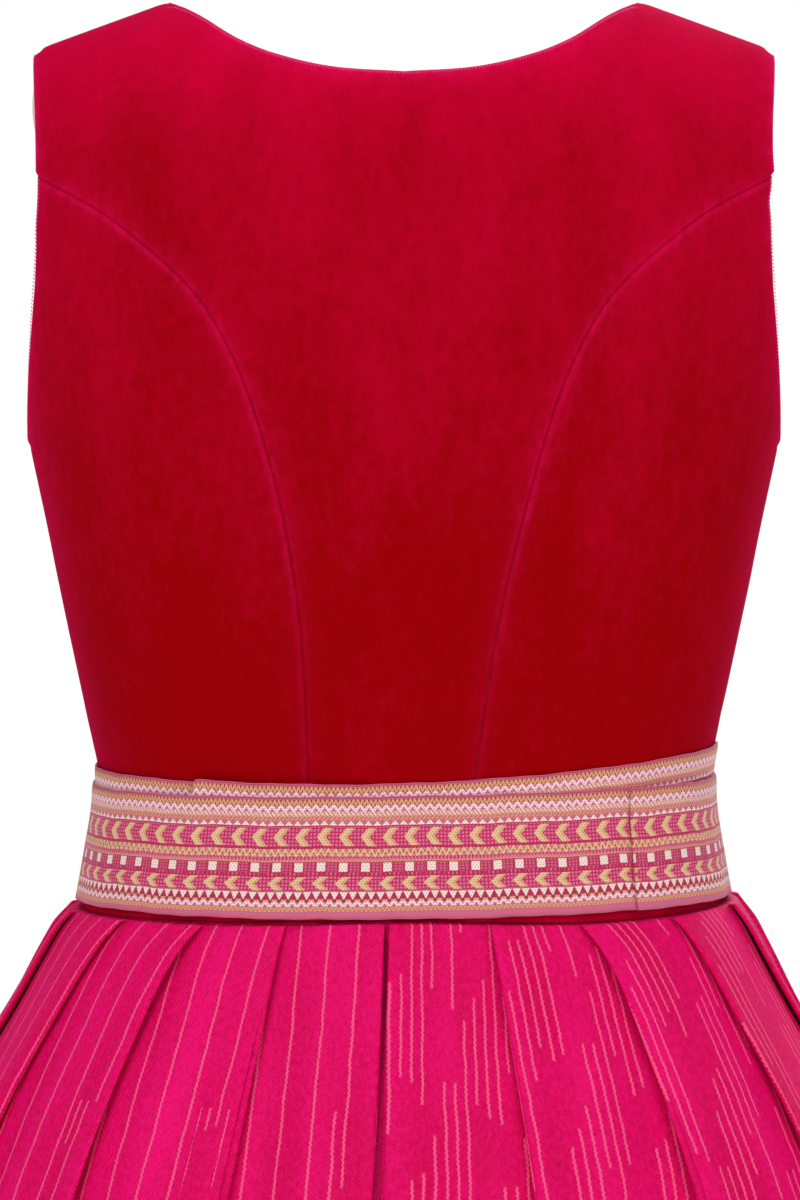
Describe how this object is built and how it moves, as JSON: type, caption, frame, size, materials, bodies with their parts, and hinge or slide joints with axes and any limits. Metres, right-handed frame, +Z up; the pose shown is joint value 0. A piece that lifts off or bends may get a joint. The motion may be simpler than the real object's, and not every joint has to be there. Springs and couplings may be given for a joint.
{
  "type": "dirndl",
  "caption": "sleeveless folk dress in its worn, hollow form: princess-seamed velvet bodice, pleated twill skirt and a woven ribbon belt wound round the waist",
  "frame": {"origin": "midway between the wearer's shoulders, at the height where the shoulder seams meet the neckline, where the wearer holds the dress up", "axes": "+X is the wearer's right, +Y the wearer's front, +Z up"},
  "size_m": [0.735, 0.6419, 1.038],
  "materials": {
    "velvet": "velvet pile",
    "ribbon": "woven jacquard ribbon",
    "twill": "striped twill"
  },
  "bodies": {
    "root": {"back_centre": "velvet", "back_side_left": "velvet", "back_side_right": "velvet", "front_side_left": "velvet", "front_side_right": "velvet", "front_left": "velvet", "front_right": "velvet", "belt_under_wrap": "ribbon", "belt_outer_wrap": "ribbon", "skirt_back": "twill", "skirt_front": "twill"}
  },
  "joints": []
}
